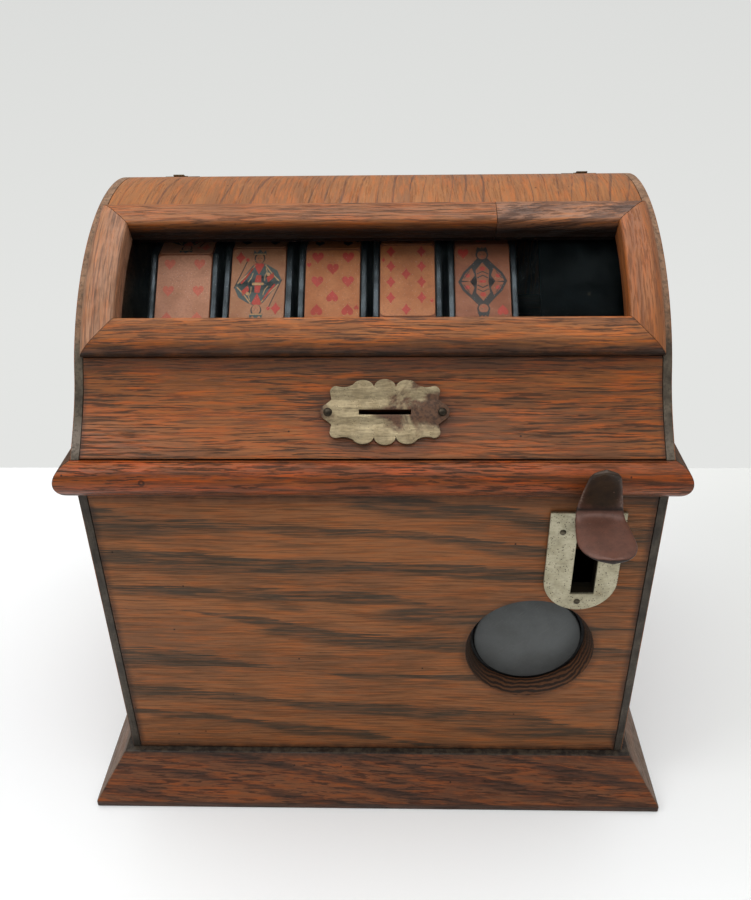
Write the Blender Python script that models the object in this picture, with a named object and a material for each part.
"""Countertop card machine: an oak cabinet with a domed top, a glazed window over five card reels,
a thumb lever, a coin slot, a round port and a cash drawer. Metres, +Z up, +X to the right,
-Y is the front. The origin is the centre of the plinth's underside."""

import math

import bpy
import bmesh
from mathutils import Matrix, Vector
from mathutils.geometry import tessellate_polygon

MM = 0.001

# Driving dimensions, in millimetres
BODY_W = 254.0          # cabinet width over the side boards
BODY_HALF_D = 100.0     # half of the cabinet depth
SIDE_T = 9.0            # side board thickness
EDGE = 3.7              # edge of the side board that shows beside the panel
BOARD_T = 9.5           # front panel, cove and dome board thickness
PLINTH_W, PLINTH_D, PLINTH_H = 289.2, 238.2, 23.3
PLINTH_EDGE, PLINTH_LEDGE = 3.7, 3.0
BELT_Z0, BELT_Z1, BELT_R, BELT_SET = 182.0, 199.5, 8.75, 1.75
FRAME_PROUD = 6.0       # how far the window frame stands out of the dome
FRAME_XO, FRAME_XI = 124.0, 108.5
GLASS_N, GLASS_T = -4.5, 3.0
MITRE_GAP = 0.25
DOME_C, DOME_R = (20.0, 205.5), 80.0
REEL_Y, REEL_Z = 7.5, 208.0
REEL_IN = 57.6          # inradius of a reel drum
REEL_X = [-86.6 + 34.2 * i for i in range(5)]
REEL_SIDES = 10
SHAFT_R, BORE_R = 4.0, 4.08
PORT_X, PORT_Z, PORT_R, PORT_RI = 74.4, 93.0, 30.4, 27.6
DISC_R = 25.6
LEVER_X = 95.3
LEVER_PIVOT = (-30.0, 163.0)
PAWL_PIVOT = (-14.0, 170.0)
GAP = 0.3

IN_X = BODY_W / 2 - SIDE_T          # 118
REB_X = BODY_W / 2 - EDGE           # 123.3
FIT_X = REB_X - GAP                 # 123.0
FY = -BODY_HALF_D

for old in list(bpy.data.objects):
    bpy.data.objects.remove(old, do_unlink=True)


# ---------------------------------------------------------------- materials
def material(name, color, rough, metal=0.0, alpha=1.0):
    m = bpy.data.materials.new(name)
    m.use_nodes = True
    b = m.node_tree.nodes["Principled BSDF"]
    b.inputs["Base Color"].default_value = (*color, 1.0)
    b.inputs["Roughness"].default_value = rough
    b.inputs["Metallic"].default_value = metal
    b.inputs["Alpha"].default_value = alpha
    m.diffuse_color = (*color, alpha)
    return m


OAK = (0.30, 0.115, 0.040)
OAK_DARK = (0.16, 0.065, 0.030)
PINE = (0.42, 0.27, 0.14)
NICKEL = (0.56, 0.53, 0.43)
IRON = (0.10, 0.095, 0.09)
STEEL = (0.16, 0.18, 0.21)
BRASS = (0.55, 0.40, 0.16)
CARD = (0.52, 0.22, 0.11)


# ---------------------------------------------------------------- mesh helpers
def finish_mesh(bm, name):
    bmesh.ops.remove_doubles(bm, verts=bm.verts, dist=1e-4)
    bmesh.ops.recalc_face_normals(bm, faces=bm.faces)
    for v in bm.verts:
        v.co *= MM
    me = bpy.data.meshes.new(name)
    bm.to_mesh(me)
    bm.free()
    return me


def put(name, bm, mat=None, origin=(0, 0, 0), parent=None, smooth=False):
    """Makes an object from a mesh in world millimetres, with its origin at the given point."""
    o = Vector(origin)
    bmesh.ops.translate(bm, verts=bm.verts, vec=-o)
    me = finish_mesh(bm, name)
    ob = bpy.data.objects.new(name, me)
    bpy.context.scene.collection.objects.link(ob)
    base = Vector((0, 0, 0))
    if parent is not None:
        ob.parent = parent
        base = parent.location
    ob.location = o * MM - base
    if mat is not None:
        me.materials.append(mat)
    if smooth:
        me.shade_smooth()
        me.set_sharp_from_angle(angle=math.radians(35))
    return ob


def pivot(name, at):
    e = bpy.data.objects.new(name, None)
    e.empty_display_size = 0.02
    e.location = Vector(at) * MM
    bpy.context.scene.collection.objects.link(e)
    return e


def loft(loops, closed=False, caps=None):
    """Closed solid through loops that have the same number of points; the end loops are capped, by the
    triangles in caps where they are given."""
    bm = bmesh.new()
    rings = [[bm.verts.new(p) for p in loop] for loop in loops]
    n = len(rings[0])
    pairs = list(zip(rings, rings[1:]))
    if closed:
        pairs.append((rings[-1], rings[0]))
    for a, b in pairs:
        for i in range(n):
            j = (i + 1) % n
            bm.faces.new((a[i], a[j], b[j], b[i]))
    if caps:
        for tri in caps:
            bm.faces.new([rings[0][i] for i in tri])
            bm.faces.new([rings[-1][i] for i in reversed(tri)])
    elif not closed:
        bm.faces.new(rings[0])
        bm.faces.new(list(reversed(rings[-1])))
    return bm


def prism_x(pts, x0, x1):
    """Extrudes an outline of (y, z) points along X."""
    return loft([[(x0, y, z) for y, z in pts], [(x1, y, z) for y, z in pts]])


def prism_y(pts, y0, y1):
    """Extrudes an outline of (x, z) points along Y."""
    return loft([[(x, y0, z) for x, z in pts], [(x, y1, z) for x, z in pts]])


def prism_z(pts, z0, z1):
    return loft([[(x, y, z0) for x, y in pts], [(x, y, z1) for x, y in pts]])


def box(x0, x1, y0, y1, z0, z1):
    return prism_x([(y0, z0), (y1, z0), (y1, z1), (y0, z1)], x0, x1)


def ring_pts(r, n, start=0.0, c=(0.0, 0.0)):
    return [(c[0] + r * math.cos(start + 2 * math.pi * i / n), c[1] + r * math.sin(start + 2 * math.pi * i / n))
            for i in range(n)]


def turned_y(profile, cx, cz, n=32, closed=False):
    """Turned solid about an axis along Y: profile is (radius, y) pairs."""
    return loft([[(x, y, z) for x, z in ring_pts(r, n, 0.0, (cx, cz))] for r, y in profile], closed)


def turned_x(profile, cy, cz, n=24, start=0.0):
    """Turned solid about an axis along X: profile is (radius, x) pairs."""
    return loft([[(x, y, z) for y, z in ring_pts(r, n, start, (cy, cz))] for r, x in profile])


def boolean(ob, bm, op="DIFFERENCE"):
    """Adds an exact Boolean with a hidden operand made from bm."""
    me = finish_mesh(bm, ob.name + "_tool")
    tool = bpy.data.objects.new(ob.name + "_tool", me)
    bpy.context.scene.collection.objects.link(tool)
    tool.hide_render = True
    tool.display_type = "WIRE"
    mod = ob.modifiers.new(op.title(), "BOOLEAN")
    mod.object = tool
    mod.operation = op
    mod.solver = "EXACT"
    return ob


# ---------------------------------------------------------------- the cabinet's side profile
def bezier(p0, p1, p2, p3, n):
    out = []
    for i in range(n + 1):
        t = i / n
        u = 1 - t
        out.append(tuple(u ** 3 * a + 3 * u * u * t * b + 3 * u * t * t * c + t ** 3 * d
                         for a, b, c, d in zip(p0, p1, p2, p3)))
    return out


COVE = [(-99.7, 199.8), (-90.8, 208.4), (-81.9, 217.9), (-76.5, 229.0)]
DOME = [(-76.5, 229.0), (-64.2, 254.2), (-28.0, 285.5), (20.0, 285.5)]


def outline(nc, nd, nb):
    """The body's outline from the front bottom over the top to the rear bottom, as (y, z)."""
    pts = bezier(*COVE, nc) + bezier(*DOME, nd)[1:]
    for i in range(1, nb + 1):
        a = math.pi / 2 * (1 - i / nb)
        pts.append((DOME_C[0] + DOME_R * math.cos(a), DOME_C[1] + DOME_R * math.sin(a)))
    return pts


FINE = outline(120, 240, 200) + [(100.0, PLINTH_H + GAP)]
ARC = [0.0]
for (ya, za), (yb, zb) in zip(FINE, FINE[1:]):
    ARC.append(ARC[-1] + math.hypot(yb - ya, zb - za))


def on_profile(s, n=0.0):
    """Point at arc length s along the cove and dome, at distance n outside the surface."""
    s = min(max(s, 0.0), ARC[-1] - 1e-6)
    lo, hi = 0, len(ARC) - 1
    while hi - lo > 1:
        mid = (lo + hi) // 2
        if ARC[mid] <= s:
            lo = mid
        else:
            hi = mid
    t = (s - ARC[lo]) / (ARC[hi] - ARC[lo])
    y = FINE[lo][0] + t * (FINE[hi][0] - FINE[lo][0])
    z = FINE[lo][1] + t * (FINE[hi][1] - FINE[lo][1])
    a, b = max(lo - 2, 0), min(hi + 2, len(FINE) - 2 if hi < len(FINE) - 1 else len(FINE) - 1)
    if hi == len(FINE) - 1:
        a = lo
        b = hi
    ty, tz = FINE[b][0] - FINE[a][0], FINE[b][1] - FINE[a][1]
    d = math.hypot(ty, tz)
    return (y - tz / d * n, z + ty / d * n)


def arc_at(y, z):
    """Arc length of the profile point nearest to (y, z)."""
    best = min(range(len(FINE)), key=lambda i: (FINE[i][0] - y) ** 2 + (FINE[i][1] - z) ** 2)
    return ARC[best]


S_COVE_END = arc_at(-73.25, 234.9)
S1 = arc_at(-64.1, 247.2)
S2 = arc_at(-27.6, 274.6)
S3 = arc_at(-12.6, 280.5)
S_HINGE = arc_at(57.0, 276.43)
S_LID_END = ARC[-2] + 5.6


def span(s0, s1, count):
    return [s0 + (s1 - s0) * i / count for i in range(count + 1)]


def shell_outline(s0, s1, count, n_out=0.0, n_in=-BOARD_T):
    outer = [on_profile(s, n_out) for s in span(s0, s1, count)]
    inner = [on_profile(s, n_in) for s in span(s1, s0, count)]
    return outer + inner


# ---------------------------------------------------------------- plinth
plinth_mat = material("oak_plinth", OAK, 0.45)
px, py = PLINTH_W / 2, PLINTH_D / 2
tx, ty_ = BODY_W / 2 + PLINTH_LEDGE + 1.0, BODY_HALF_D + PLINTH_LEDGE
rect = lambda x, y, z: [(-x, -y, z), (x, -y, z), (x, y, z), (-x, y, z)]
put("base_plinth", loft([rect(px, py, 0.0), rect(px, py, PLINTH_EDGE), rect(tx, ty_, PLINTH_H)]), plinth_mat)

# ---------------------------------------------------------------- side boards, rebated for the front, cove and dome
Z0 = PLINTH_H + GAP
full = [(FY, Z0), (FY, COVE[0][1])] + outline(7, 14, 12) + [(100.0, Z0)]
inset_n = -(BOARD_T + GAP)
inset = [(FY - inset_n, Z0)]
for s in span(0.0, ARC[-2], 34):
    y, z = on_profile(s, inset_n)
    if y > FY - inset_n + 0.4:
        inset.append((y, z))
inset.append((100.0 + inset_n, Z0))
for side, sx in (("left", -1), ("right", 1)):
    board = put("side_board_" + side, prism_x(full, sx * REB_X, sx * BODY_W / 2), material("oak_side_" + side, OAK, 0.45))
    boolean(board, prism_x(inset, sx * IN_X, sx * (REB_X + 0.5)), "UNION")

# ---------------------------------------------------------------- front panel with the lever slot and the round port
panel = put("front_panel", box(-FIT_X, FIT_X, FY, FY + BOARD_T, Z0, BELT_Z0 - GAP), material("oak_panel", OAK, 0.45))
boolean(panel, turned_y([(PORT_R + 0.6, FY - 2.0), (PORT_R, FY), (PORT_RI, FY + 7.5), (PORT_RI, FY + 12.0)], PORT_X, PORT_Z, 40))
boolean(panel, box(LEVER_X - 6.4, LEVER_X + 6.4, FY - 5, FY + 15, 127.0, 172.5))

# ---------------------------------------------------------------- belt moulding
bz = (BELT_Z0 + BELT_Z1) / 2
nose = []
for i in range(9):
    a = -math.pi / 2 + math.pi * i / 8
    nose.append((max(-BELT_SET + BELT_R * math.cos(a), GAP), bz + (BELT_R if abs(i - 4) < 4 else BELT_R) * math.sin(a)))
half = BODY_W / 2
front = loft([[(-(half + q) + 0.15, FY - q, z) for q, z in nose], [((half + q) - 0.15, FY - q, z) for q, z in nose]])
belt = put("belt_front", front, material("oak_belt", OAK, 0.4))
boolean(belt, box(-FIT_X, FIT_X, FY - 1.2, FY + BOARD_T, BELT_Z0, BELT_Z1), "UNION")
for side, sx in (("left", -1), ("right", 1)):
    loops = [[(sx * (half + q), FY - q + 0.15, z) for q, z in nose], [(sx * (half + q), 100.0, z) for q, z in nose]]
    put("belt_" + side, loft(loops), material("oak_belt_" + side, OAK, 0.4))

# ---------------------------------------------------------------- cove board with the coin slot
z_seat = BELT_Z1 + GAP
outer = [on_profile(s) for s in span(0.0, S_COVE_END - 0.2, 8)]
inner = [on_profile(s, -BOARD_T) for s in span(S_COVE_END - 0.2, 0.0, 14)]
kept = [p for p in inner if p[1] > z_seat + 0.2]
drop = [p for p in inner if p[1] <= z_seat + 0.2][0]
t = (kept[-1][1] - z_seat) / (kept[-1][1] - drop[1])
foot = (kept[-1][0] + t * (drop[0] - kept[-1][0]), z_seat)
outer[0] = (outer[0][0], z_seat)
cove = put("cove_board", prism_x(outer + kept + [foot], -FIT_X, FIT_X), material("oak_cove", OAK, 0.45))
S_SLOT = arc_at(-85.7, 214.3)
SLOT_X, SLOT_W, SLOT_H = 6.2, 22.1, 2.2
cy, cz = on_profile(S_SLOT)
ny, nz = (on_profile(S_SLOT, 1.0)[0] - cy, on_profile(S_SLOT, 1.0)[1] - cz)


def slot_tool(w, h, out, depth):
    ty, tz = nz, -ny
    quad = [(cy + ny * n + ty * u, cz + nz * n + tz * u) for n, u in ((out, -h / 2), (out, h / 2), (-depth, h / 2), (-depth, -h / 2))]
    return prism_x(quad, SLOT_X - w / 2, SLOT_X + w / 2)


boolean(cove, slot_tool(SLOT_W + 0.8, SLOT_H + 0.8, 4.0, 16.0))

# ---------------------------------------------------------------- window frame, mitred, curved with the dome
SB, ST = S_COVE_END, S3


def proud_arc(edge, inward, r, steps=4):
    """Rounded arris from the surface side to the top of the frame: (t, n) pairs."""
    return [(edge + inward * r * (1 - math.cos(math.pi / 2 * i / steps)), FRAME_PROUD - r + r * math.sin(math.pi / 2 * i / steps))
            for i in range(steps + 1)]


def member_section(t_in, t_out):
    """Section of a frame member from its glass side (t_in) to its outer side (t_out), as (t, n)."""
    d = 1 if t_out > t_in else -1
    a, b = t_in + d * 4.3, t_out
    pts = [(t_in, -4.2), (a, -4.2)] + [(a + (b - a) * k / 4, -BOARD_T) for k in range(5)] + [(t_out, 0.35), (t_out, 0.7)]
    pts += proud_arc(t_out, -d, 5.0)
    a, b = t_out - d * 5.0, t_in + d * 2.4
    pts += [(a + (b - a) * k / 4, FRAME_PROUD) for k in (1, 2, 3)]
    pts += list(reversed(proud_arc(t_in, d, 2.4, 3)))
    return pts


def mitre(t, t_in, t_out):
    return (t - t_in) / (t_out - t_in)


# every mitre is triangulated alike, so that the two curved faces at a corner run parallel
MITRE_CAP = tessellate_polygon([[Vector((x - (0.3 if n <= 0.36 else 0.0), n - 0.0045 * (x - 116.0) ** 2, 0.0)) for x, n in member_section(FRAME_XI, FRAME_XO)]])

for name, si, so in (("bottom", S1, SB), ("top", S2, ST)):
    sec = member_section(si, so)
    loops = []
    for sx in (-1, 1):
        loop = []
        for s, n in sec:
            f = mitre(s, si, so)
            x = FRAME_XI + f * (FRAME_XO - FRAME_XI) - MITRE_GAP
            if n <= 0.36:
                x = min(x, FIT_X - GAP)
            y, z = on_profile(s, n)
            loop.append((sx * x, y, z))
        loops.append(loop)
    put("frame_rail_" + name, loft(loops, False, MITRE_CAP), material("oak_rail_" + name, OAK, 0.4))

for side, sx in (("left", -1), ("right", 1)):
    sec = member_section(FRAME_XI, FRAME_XO)
    loops = []
    for k in range(9):
        loop = []
        for x, n in sec:
            f = mitre(x, FRAME_XI, FRAME_XO)
            a = S1 + f * (SB - S1) + MITRE_GAP
            b = S2 + f * (ST - S2) - MITRE_GAP
            y, z = on_profile(a + (b - a) * k / 8, n)
            loop.append((sx * (x if n > 0.36 else min(x, FIT_X)), y, z))
        loops.append(loop)
    put("frame_stile_" + side, loft(loops, False, MITRE_CAP), material("oak_stile_" + side, OAK, 0.4))

put("window_glass", prism_x(shell_outline(S1 - 3.9, S2 + 3.9, 8, GLASS_N, GLASS_N - GLASS_T), -112.1, 112.1),
    material("window_glass", (0.8, 0.85, 0.85), 0.05, 0.0, 0.25))

# ---------------------------------------------------------------- dome board, rear lid, rear panel
put("dome_top", prism_x(shell_outline(ST + GAP, S_HINGE - 0.2, 7), -FIT_X, FIT_X), material("oak_dome", OAK, 0.42))

HINGE_Y, HINGE_Z = on_profile(S_HINGE, 1.55)
lid_axis = pivot("lid_axis", (0, HINGE_Y, HINGE_Z))
lid = put("rear_lid", prism_x(shell_outline(S_HINGE + 0.2, S_LID_END, 12), -FIT_X, FIT_X), material("oak_lid", OAK, 0.42),
          (0, HINGE_Y, HINGE_Z), lid_axis)
LOCK_Z = 207.0
boolean(lid, turned_y([(5.6, 80.0), (5.6, 110.0)], 0.0, LOCK_Z, 24))

hy, hz = on_profile(S_HINGE)
tyy, tzz = on_profile(S_HINGE + 1.0)[0] - hy, on_profile(S_HINGE + 1.0)[1] - hz
nyy, nzz = (HINGE_Y - hy) / 1.55, (HINGE_Z - hz) / 1.55


def hinge_pt(along, out):
    return (hy + tyy * along + nyy * out, hz + tzz * along + nzz * out)


brass = material("hinge_brass", (0.20, 0.14, 0.07), 0.5, 1.0)
for side, cx in (("left", -102.3), ("right", 106.0)):
    fixed = put("hinge_leaf_fixed_" + side, prism_x([hinge_pt(-9.0, 0.5), hinge_pt(0.4, 0.5), hinge_pt(0.4, 1.3), hinge_pt(-9.0, 1.3)],
                                                    cx - 2.8, cx + 2.8), brass)
    boolean(fixed, turned_x([(1.3, cx - 2.8), (1.3, cx + 2.8)], HINGE_Y, HINGE_Z, 14), "UNION")
    boolean(fixed, turned_x([(0.55, cx - 9.0), (0.55, cx + 9.0)], HINGE_Y, HINGE_Z, 12), "UNION")
    # the moving leaf: a plate behind the axis with a knuckle each side of the fixed one
    plate = prism_x([hinge_pt(1.9, 0.5), hinge_pt(11.0, 0.5), hinge_pt(11.0, 1.3), hinge_pt(1.9, 1.3)], cx - 9.0, cx + 9.0)
    moving = put("hinge_leaf_moving_" + side, plate, brass, (0, HINGE_Y, HINGE_Z), lid_axis)
    for a, b in ((-9.0, -3.1), (3.1, 9.0)):
        boolean(moving, prism_x([hinge_pt(0.2, 0.5), hinge_pt(3.0, 0.5), hinge_pt(3.0, 1.3), hinge_pt(0.2, 1.3)], cx + a, cx + b), "UNION")
        boolean(moving, turned_x([(1.05, cx + a), (1.05, cx + b)], HINGE_Y, HINGE_Z, 14), "UNION")
    boolean(moving, turned_x([(0.65, cx - 12.0), (0.65, cx + 12.0)], HINGE_Y, HINGE_Z, 12))

lock_axis = pivot("lock_axis", (0, 100.0, LOCK_Z))
lock = put("lid_lock", turned_y([(5.3, 86.2), (5.3, 100.4), (8.0, 100.4), (8.0, 101.6), (7.2, 102.4)], 0.0, LOCK_Z, 24),
           material("lock_brass", BRASS, 0.35, 1.0), (0, 100.0, LOCK_Z), lock_axis)
boolean(lock, box(-3.0, 13.5, 84.6, 86.8, LOCK_Z - 3.0, LOCK_Z + 3.0), "UNION")
boolean(lock, box(-0.9, 0.9, 99.0, 105.0, LOCK_Z - 4.0, LOCK_Z + 2.0))

put("rear_panel", box(-FIT_X, FIT_X, 100.0 - BOARD_T, 100.0, 62.0, 199.3), material("oak_rear", OAK_DARK, 0.55))

# ---------------------------------------------------------------- cash drawer with its knob
drawer_axis = pivot("drawer_slide", (0, 0, 40.0))
drawer = put("cash_drawer", box(-112.0, 112.0, -80.0, 96.0, Z0 + GAP, 58.0), material("pine_drawer", PINE, 0.6), (0, 0, 40.0), drawer_axis)
boolean(drawer, box(-117.6, 117.6, 90.5, 100.0, Z0 + GAP, 61.4), "UNION")
boolean(drawer, box(-106.0, 106.0, -74.0, 88.0, 31.0, 80.0))
boolean(drawer, turned_y([(2.2, 84.0), (2.2, 110.0)], 0.0, 44.0, 16))
put("drawer_knob", turned_y([(2.0, 90.0), (2.0, 100.4), (5.2, 100.4), (4.2, 103.5), (7.0, 108.0), (7.6, 111.0), (5.6, 114.0), (2.4, 115.2)], 0.0, 44.0, 20),
    material("knob_brass", BRASS, 0.35, 1.0), (0, 100.0, 44.0), drawer_axis, True)

# ---------------------------------------------------------------- shelf and reel brackets
SHELF_Z0, SHELF_Z1 = 118.0, 125.0
put("mechanism_shelf", box(-IN_X + GAP, IN_X - GAP, -54.0, 88.0, SHELF_Z0, SHELF_Z1), material("pine_shelf", PINE, 0.65))
iron = material("bracket_iron", IRON, 0.55, 0.8)
for side, x0, x1, foot_x in (("left", -112.0, -109.5, 14.0), ("right", 70.5, 73.0, 10.0)):
    cheek = [(-20.0, SHELF_Z1 + GAP), (35.0, SHELF_Z1 + GAP), (35.0, 132.0)]
    cheek += [(REEL_Y + 10.5 * math.cos(a), REEL_Z + 10.5 * math.sin(a)) for a in (math.pi * i / 8 for i in range(9))]
    cheek += [(-20.0, 132.0)]
    br = put("reel_bracket_" + side, prism_x(cheek, x0, x1), iron)
    boolean(br, box(x0, x0 + foot_x, -20.0, 35.0, SHELF_Z1 + GAP, SHELF_Z1 + GAP + 2.5), "UNION")
    boolean(br, turned_x([(4.3, x0 - 5), (4.3, x1 + 5)], REEL_Y, REEL_Z, 24))

# ---------------------------------------------------------------- reel shaft and drive ratchet
shaft_axis = pivot("shaft_axis", (0, REEL_Y, REEL_Z))
O_REEL = (0, REEL_Y, REEL_Z)
put("reel_shaft", turned_x([(SHAFT_R - 0.6, -114.5), (SHAFT_R, -113.9), (SHAFT_R, 106.4), (SHAFT_R - 0.6, 107.0)], REEL_Y, REEL_Z, 24),
    material("shaft_steel", (0.45, 0.45, 0.46), 0.3, 1.0), O_REEL, shaft_axis, True)
teeth = []
for i in range(REEL_SIDES):
    a = 2 * math.pi * i / REEL_SIDES
    for f, r in ((0.0, 16.0), (0.04, 12.2), (0.5, 13.6)):
        teeth.append((REEL_Y + r * math.cos(a + f * 2 * math.pi / REEL_SIDES), REEL_Z + r * math.sin(a + f * 2 * math.pi / REEL_SIDES)))
ratchet = put("drive_ratchet", prism_x(teeth, 99.4, 103.0), material("ratchet_steel", (0.30, 0.29, 0.28), 0.4, 1.0), O_REEL, shaft_axis)
boolean(ratchet, turned_x([(7.0, 94.0), (7.0, 99.6)], REEL_Y, REEL_Z, 24), "UNION")
boolean(ratchet, turned_x([(4.12, 90.0), (4.12, 110.0)], REEL_Y, REEL_Z, 24))

# ---------------------------------------------------------------- five reels: a ten-sided drum between two steel rims
FACE0 = math.radians(135.0 + 18.0)
rc = REEL_IN / math.cos(math.pi / REEL_SIDES)
rim_c = 58.5 / math.cos(math.pi / REEL_SIDES)


def baked(ob):
    """Replaces the object's modifiers by their result, so that copies can share the mesh."""
    bpy.context.view_layer.update()
    ev = ob.evaluated_get(bpy.context.evaluated_depsgraph_get())
    me = bpy.data.meshes.new_from_object(ev)
    tools = [m.object for m in ob.modifiers]
    ob.modifiers.clear()
    ob.data = me
    for t_ in tools:
        bpy.data.objects.remove(t_, do_unlink=True)
    return ob


steel = material("rim_steel", STEEL, 0.35, 0.9)
paper = material("reel_card", CARD, 0.6)
REEL_TURN = (0.0, -3.7, -2.5, -5.3, -4.4)      # how far each reel has stopped from the even position, degrees
first = None
for i, x in enumerate(REEL_X):
    axis = pivot("reel_axis_%d" % (i + 1), (x, REEL_Y, REEL_Z))
    if first is None:
        drum = put("reel_drum_1", prism_x(ring_pts(rc, REEL_SIDES, FACE0, (REEL_Y, REEL_Z)), x - 12.6, x + 12.6), paper,
                   (x, REEL_Y, REEL_Z), axis)
        boolean(drum, turned_x([(7.0, x - 16.8), (7.0, x + 16.8)], REEL_Y, REEL_Z, 24), "UNION")
        boolean(drum, turned_x([(BORE_R, x - 20), (BORE_R, x + 20)], REEL_Y, REEL_Z, 24))
        rim = put("reel_rim_left_1", prism_x(ring_pts(rim_c, REEL_SIDES, FACE0, (REEL_Y, REEL_Z)), x - 15.7, x - 12.9), steel,
                  (x, REEL_Y, REEL_Z), axis)
        boolean(rim, turned_x([(7.4, x - 20), (7.4, x + 20)], REEL_Y, REEL_Z, 20))
        rim_b = put("reel_rim_right_1", prism_x(ring_pts(rim_c, REEL_SIDES, FACE0, (REEL_Y, REEL_Z)), x + 12.9, x + 15.7), steel,
                    (x, REEL_Y, REEL_Z), axis)
        boolean(rim_b, turned_x([(7.4, x - 20), (7.4, x + 20)], REEL_Y, REEL_Z, 20))
        first = [baked(drum), baked(rim), baked(rim_b)]
    else:
        for source, stem in zip(first, ("reel_drum_", "reel_rim_left_", "reel_rim_right_")):
            shape = source.data.copy()
            shape.transform(Matrix.Rotation(math.radians(REEL_TURN[i]), 4, "X"))
            c = bpy.data.objects.new(stem + str(i + 1), shape)
            bpy.context.scene.collection.objects.link(c)
            c.parent = axis

# ---------------------------------------------------------------- stop comb behind the reels
comb = put("stop_comb", box(-104.0, 68.0, 74.0, 80.0, SHELF_Z1 + GAP, 131.0), material("comb_brass", BRASS, 0.4, 1.0))
for x in REEL_X:
    finger = [(75.0, 130.0), (76.2, 130.0), (76.2, 190.0), (70.0, 194.0), (69.2, 193.2), (75.0, 189.2)]
    boolean(comb, prism_x(finger, x - 4.0, x + 4.0), "UNION")

# black board that closes the bay beside the reels
put("bay_mask", prism_x([(-52.0, 230.5), (-14.0, 268.5), (-13.3, 267.8), (-51.3, 229.8)], 76.0, IN_X - GAP), material("bay_black", (0.01, 0.01, 0.012), 0.4))

# ---------------------------------------------------------------- coin chute: an open channel from the slot to the port
CH_HALF, CH_WALL = 13.2, 1.2
path = [(SLOT_X, 212.0), (SLOT_X, 188.0), (PORT_X, 132.0), (PORT_X, 120.0)]


def band(pts, h):
    """Outline of a strip of half width h along a path of (x, z) points."""
    left, right = [], []
    for k, p in enumerate(pts):
        a = pts[max(k - 1, 0)]
        b = pts[min(k + 1, len(pts) - 1)]
        d1 = Vector((p[0] - a[0], p[1] - a[1])) if k else Vector((b[0] - p[0], b[1] - p[1]))
        d2 = Vector((b[0] - p[0], b[1] - p[1])) if k < len(pts) - 1 else d1
        n1 = Vector((-d1.y, d1.x)).normalized()
        n2 = Vector((-d2.y, d2.x)).normalized()
        m = (n1 + n2).normalized()
        w = h / m.dot(n1)
        left.append((p[0] + m.x * w, p[1] + m.y * w))
        right.append((p[0] - m.x * w, p[1] - m.y * w))
    return left + right[::-1]


chute = put("coin_chute", prism_y(band(path, CH_HALF), -74.0, -66.0), material("chute_tin", (0.42, 0.42, 0.40), 0.4, 1.0))
run = [(SLOT_X, 220.0)] + path[1:3] + [(PORT_X, 110.0)]
boolean(chute, prism_y(band(run, CH_HALF - CH_WALL), -80.0, -66.0 - CH_WALL))
boolean(chute, box(PORT_X - 8, PORT_X + 8, -67.0, -54.0 - GAP, 120.6, 124.2), "UNION")

# ---------------------------------------------------------------- round port: slate-grey disc and its retaining ring
put("port_disc", turned_y([(DISC_R, FY + 8.0), (DISC_R, FY + 11.0)], PORT_X, PORT_Z, 40), material("port_slate", (0.075, 0.08, 0.082), 0.35))
put("port_retainer", turned_y([(36.0, FY + 9.8), (36.0, FY + 14.0), (22.5, FY + 14.0), (22.5, FY + 11.3), (26.2, FY + 11.3), (26.2, FY + 9.8)],
                              PORT_X, PORT_Z, 40, True), material("retainer_iron", IRON, 0.6, 0.7))

# ---------------------------------------------------------------- nickel slot plate, scalloped, bent to the cove
nickel = material("slot_nickel", NICKEL, 0.35, 0.9)


def plate_half(steps=6):
    """Right half of the lower edge of the plate, from the centre lobe to the ear: (u, v) pairs."""
    pts = []
    for i in range(steps + 1):                       # half of the middle lobe
        a = -math.pi / 2 + (math.pi / 2) * i / steps
        pts.append((4.5 * math.cos(a), -10.9 + 3.4 * math.sin(a)))
    for i in range(2, 2 * steps - 1):                # outer lobe
        a = -math.pi + math.pi * 0.78 * i / (2 * steps - 2)
        pts.append((9.3 + 4.6 * math.cos(a), -10.6 + 3.3 * math.sin(a)))
    for i in range(1, steps + 1):                    # long hollow, then the corner
        f = i / steps
        pts.append((12.9 + 7.6 * f, -12.2 + 0.9 * f + 0.9 * math.sin(math.pi * f)))
    for i in range(1, steps + 1):
        a = -math.pi / 2 + math.pi / 2 * i / steps
        pts.append((20.7 + 2.6 * math.cos(a), -8.7 + 2.6 * math.sin(a)))
    pts.append((22.6, -5.4))
    for i in range(5):                               # the ear
        a = -1.25 + 1.25 * i / 4
        pts.append((24.0 + 3.3 * math.cos(a), 3.6 * math.sin(a)))
    return pts


low = plate_half()
ring = low + [(u, -v) for u, v in reversed(low[:-1])]
ring = ring + [(-u, v) for u, v in reversed(ring)]
clean = []
for p in ring:
    if not clean or math.hypot(p[0] - clean[-1][0], p[1] - clean[-1][1]) > 0.15:
        clean.append(p)
if math.hypot(clean[0][0] - clean[-1][0], clean[0][1] - clean[-1][1]) < 0.15:
    clean.pop()
bm = prism_z([(SLOT_X + u, v) for u, v in clean], 0.3, 1.7)
for v in (-9.0, -4.5, 0.0, 4.5, 9.0):
    geo = bm.verts[:] + bm.edges[:] + bm.faces[:]
    bmesh.ops.bisect_plane(bm, geom=geo, plane_co=(0, v, 0), plane_no=(0, 1, 0), dist=1e-5)
for vert in bm.verts:
    x, v, n = vert.co
    y, z = on_profile(S_SLOT + v, n)
    vert.co = (x, y, z)
slot_plate = put("coin_slot_plate", bm, nickel)
boolean(slot_plate, slot_tool(SLOT_W, SLOT_H, 6.0, 5.0))


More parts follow.
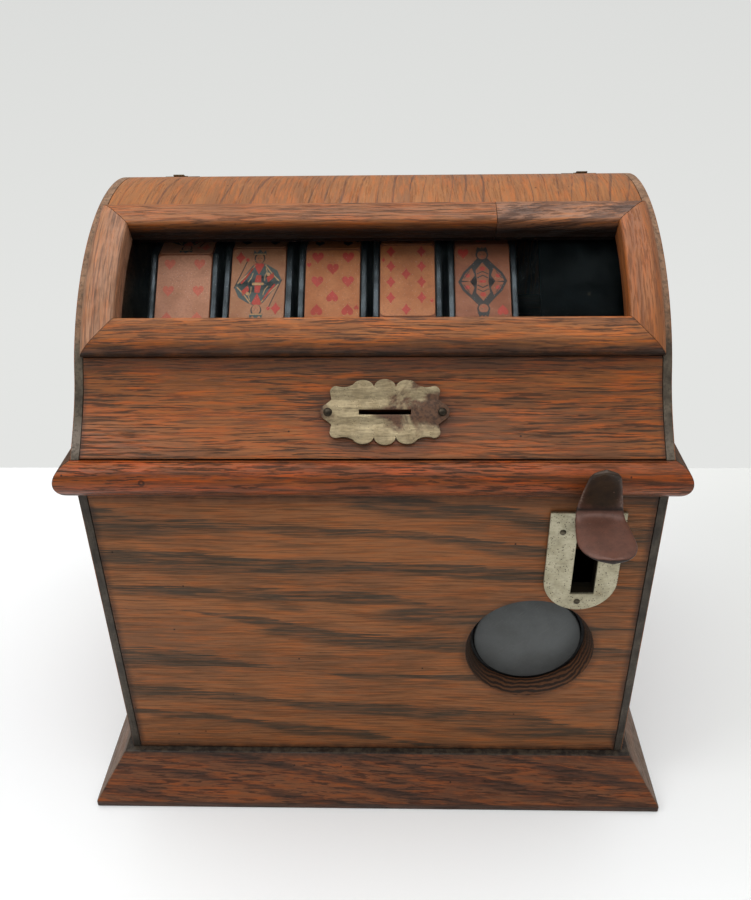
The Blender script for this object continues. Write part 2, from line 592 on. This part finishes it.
def nail(name, at, nrm, r, h, mat, sides=12):
    """Domed nail head with a short shank, pointing along nrm (a direction in the YZ plane)."""
    prof = [(r, 0.0), (r * 0.92, h * 0.45), (r * 0.6, h * 0.85), (r * 0.2, h)]
    side = Vector((1, 0, 0))
    up = Vector((0, nrm[0], nrm[1]))
    other = up.cross(side)
    c = Vector(at)
    loops = [[tuple(c + side * (rr * math.cos(2 * math.pi * k / sides)) + other * (rr * math.sin(2 * math.pi * k / sides)) + up * hh)
              for k in range(sides)] for rr, hh in prof]
    return put(name, loft(loops), mat, at, None, True)


nail_mat = material("nail_iron", (0.17, 0.15, 0.12), 0.5, 0.8)
for side, sx in (("left", -1), ("right", 1)):
    y, z = on_profile(S_SLOT, 2.0)
    nail("slot_nail_" + side, (SLOT_X + sx * 24.2, y, z), (ny, nz), 1.9, 1.2, nail_mat)

# ---------------------------------------------------------------- nickel lever plate, square above and round below
LP_X, LP_R, LP_TOP, LP_BOT = 94.0, 16.5, 173.8, 119.9
u_pts = [(LP_X - LP_R, LP_TOP), (LP_X + LP_R, LP_TOP)]
for i in range(17):
    a = -math.pi * i / 16
    u_pts.append((LP_X + LP_R * math.cos(a), LP_BOT + LP_R + LP_R * math.sin(a)))
lever_plate = put("lever_plate", prism_y(u_pts, FY - 1.8, FY - GAP), material("lever_nickel", NICKEL, 0.4, 0.9))
boolean(lever_plate, box(LEVER_X - 5.3, LEVER_X + 5.3, FY - 5, FY + 2, 129.0, 171.0))
for k, (x, z) in enumerate(((83.5, 163.7), (105.5, 163.7), (93.4, 124.8))):
    nail("lever_nail_%d" % (k + 1), (x, FY - 2.1, z), (-1.0, 0.0), 1.5, 0.9, nail_mat)

# ---------------------------------------------------------------- thumb lever
lever_axis = pivot("lever_axis", (LEVER_X, *LEVER_PIVOT))
LO = (LEVER_X, *LEVER_PIVOT)
py_, pz_ = LEVER_PIVOT
arm = [(py_, pz_ - 4.5), (-107.0, pz_ - 4.5), (-112.6, pz_ - 1.0), (-115.0, 170.0), (-115.4, 179.4),
       (-110.6, 179.9), (-109.6, 172.0), (-106.0, pz_ + 4.5), (py_, pz_ + 4.5),
       (-18.0, 174.2), (-12.6, 174.6), (-9.8, 171.0), (-11.0, 166.4)]
lever_mat = material("lever_iron", (0.16, 0.065, 0.050), 0.45, 0.3)
lever = put("thumb_lever", prism_x(arm, LEVER_X - 4.0, LEVER_X + 4.0), lever_mat, LO, lever_axis)
boolean(lever, turned_x([(6.6, LEVER_X - 4.6), (6.6, LEVER_X + 4.6)], *LEVER_PIVOT, 24), "UNION")


def oval(cx, cy2, cz2, w, h, along, n=14):
    """Flat oval loop: along 'y' it lies in XZ, along 'z' it lies in XY."""
    out = []
    for k in range(n):
        a = 2 * math.pi * k / n
        c, s = math.cos(a), math.sin(a)
        u = w * math.copysign(abs(c) ** 0.8, c)
        v = h * math.copysign(abs(s) ** 0.8, s)
        out.append((cx + u, cy2, cz2 + v) if along == "y" else (cx + u, cy2 + v, cz2))
    return out


pad = []
for k in range(9):
    f = k / 8
    yy = -110.6 - 31.4 * f
    w = (9.4 + 3.0 * math.sin(math.pi * min(f * 0.62, 1.0))) * math.sqrt(max(1.0 - max((f - 0.55) / 0.45, 0.0) ** 2 * 0.93, 0.0))
    pad.append(oval(LEVER_X, yy, 180.4 - 1.7 * f - 1.2 * math.sin(math.pi * f), w, 1.35, "y"))
boolean(lever, loft(pad), "UNION")
tongue = []
for k in range(7):
    f = k / 6
    w = (9.6 - 3.4 * f) * math.sqrt(max(1.0 - max((f - 0.6) / 0.4, 0.0) ** 2 * 0.85, 0.0))
    tongue.append(oval(LEVER_X, -112.4 - 1.8 * f * f + 0.9 * math.sin(math.pi * f), 178.9 + 24.4 * f, w, 1.35, "z"))
boolean(lever, loft(tongue), "UNION")
boolean(lever, turned_x([(2.58, LEVER_X - 8), (2.58, LEVER_X + 8)], *LEVER_PIVOT, 20))
boolean(lever, turned_x([(1.6, LEVER_X - 8), (1.6, LEVER_X + 8)], *PAWL_PIVOT, 16))

# pawl on the lever's rear arm, its pin in one piece with it
pawl_axis = pivot("pawl_axis", (LEVER_X, *PAWL_PIVOT))
pa, pb = PAWL_PIVOT
pawl = put("drive_pawl", prism_x([(pa - 3.4, pb - 1.0), (pa, pb - 3.6), (pa + 3.4, pb - 1.0), (pa + 2.6, pb + 10.0), (pa + 3.2, pb + 29.0),
                                  (pa + 0.6, pb + 29.6), (pa - 2.0, pb + 12.0)], 99.7, 102.6),
           material("pawl_steel", (0.30, 0.29, 0.28), 0.4, 1.0), (LEVER_X, pa, pb), pawl_axis)
boolean(pawl, turned_x([(1.5, LEVER_X - 4.6), (1.5, 100.5)], pa, pb, 16), "UNION")

# lever bracket and pin
yoke = put("lever_bracket", box(84.0, 107.0, -38.0, -20.0, SHELF_Z1 + GAP, SHELF_Z1 + GAP + 2.4), iron)
for a, b in ((84.0, 86.2), (104.8, 107.0)):
    boolean(yoke, prism_x([(-37.0, SHELF_Z1 + 1.0), (-23.0, SHELF_Z1 + 1.0), (-24.5, 168.0), (-27.5, 170.5), (-32.5, 170.5), (-35.5, 168.0)], a, b), "UNION")
boolean(yoke, turned_x([(2.62, 80.0), (2.62, 112.0)], *LEVER_PIVOT, 20))
put("lever_pin", turned_x([(2.5, 83.0), (2.5, 108.0), (4.2, 108.0), (4.2, 109.6)], *LEVER_PIVOT, 20),
    material("pin_steel", (0.45, 0.45, 0.46), 0.3, 1.0))

# return spring: a coil between the shelf and the lever arm
SPR_Y, SPR_R, WIRE = -46.0, 4.0, 0.55
zb, zt, turns, per = SHELF_Z1 + GAP + WIRE, pz_ - 4.5 - GAP - WIRE, 6, 12
wire_loops = []
for k in range(turns * per + 1):
    f = k / (turns * per)
    a = 2 * math.pi * k / per
    c = Vector((LEVER_X + SPR_R * math.cos(a), SPR_Y + SPR_R * math.sin(a), zb + (zt - zb) * f))
    out = Vector((math.cos(a), math.sin(a), 0.0))
    wire_loops.append([tuple(c + out * (WIRE * math.cos(b)) + Vector((0, 0, WIRE * math.sin(b))))
                       for b in (2 * math.pi * j / 6 for j in range(6))])
put("lever_spring", loft(wire_loops), material("spring_steel", (0.40, 0.40, 0.41), 0.35, 1.0), (LEVER_X, SPR_Y, SHELF_Z1), None, True)
